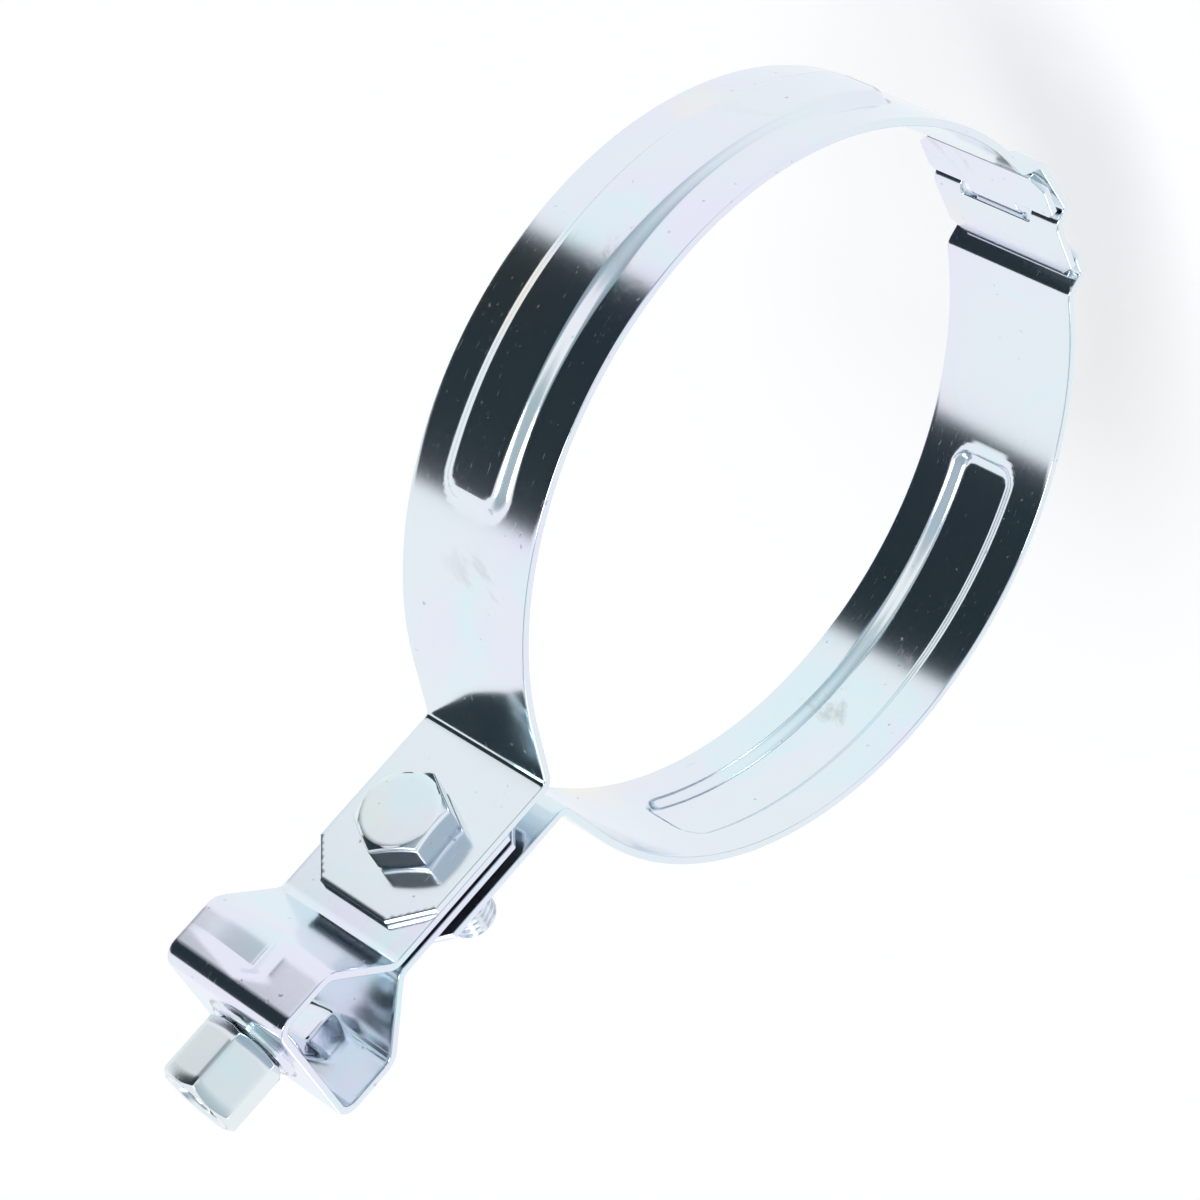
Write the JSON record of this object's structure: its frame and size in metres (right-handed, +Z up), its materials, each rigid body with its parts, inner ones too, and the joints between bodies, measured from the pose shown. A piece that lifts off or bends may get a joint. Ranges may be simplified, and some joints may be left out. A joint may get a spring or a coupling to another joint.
{
  "type": "pipe hanger clamp",
  "caption": "Hinged sheet-metal pipe hanger: two hooked half rings closed by a bolt and captive nut, hung from a bent yoke with a swivelling nut for a threaded rod.",
  "frame": {"origin": "centre of the pipe seat", "axes": "+Y along the pipe, +Z up the threaded rod, +X on the side of the bolt head"},
  "size_m": [0.1204, 0.025, 0.1864],
  "materials": {
    "strip_zinc": "bright zinc-plated rolled strip, pale blue passivation, fine scratches",
    "fastener_zinc": "bright zinc-plated forged fastener, slightly grainy"
  },
  "bodies": {
    "rod_nut": {"rod_nut": "fastener_zinc"},
    "yoke": {"yoke": "strip_zinc"},
    "right_half": {"right_band": "strip_zinc"},
    "left_half": {"left_band": "strip_zinc", "captive_nut": "fastener_zinc"},
    "bolt": {"clamp_bolt": "fastener_zinc"}
  },
  "joints": [
    {"name": "yoke_swivel", "type": "hinge", "parent": "rod_nut", "child": "yoke", "pos_m": [0, 0, 0.112], "axis": [0, 0, 1], "continuous": true},
    {"name": "clamp_swing", "type": "hinge", "parent": "yoke", "child": "right_half", "pos_m": [0, 0, 0.0755], "axis": [1, 0, 0], "range_deg": [-90, 90]},
    {"name": "clamp_open", "type": "hinge", "parent": "right_half", "child": "left_half", "pos_m": [-0.0025, 0, -0.05872], "axis": [0, -1, 0], "range_deg": [0, 60]},
    {"name": "bolt_withdraw", "type": "slide", "parent": "right_half", "child": "bolt", "axis": [1, 0, 0], "range_m": [0, 0.0601]}
  ],
  "couplings": [
    {"joint": "bolt_withdraw", "follows": "clamp_open", "m_per_rad": 0.0573}
  ]
}
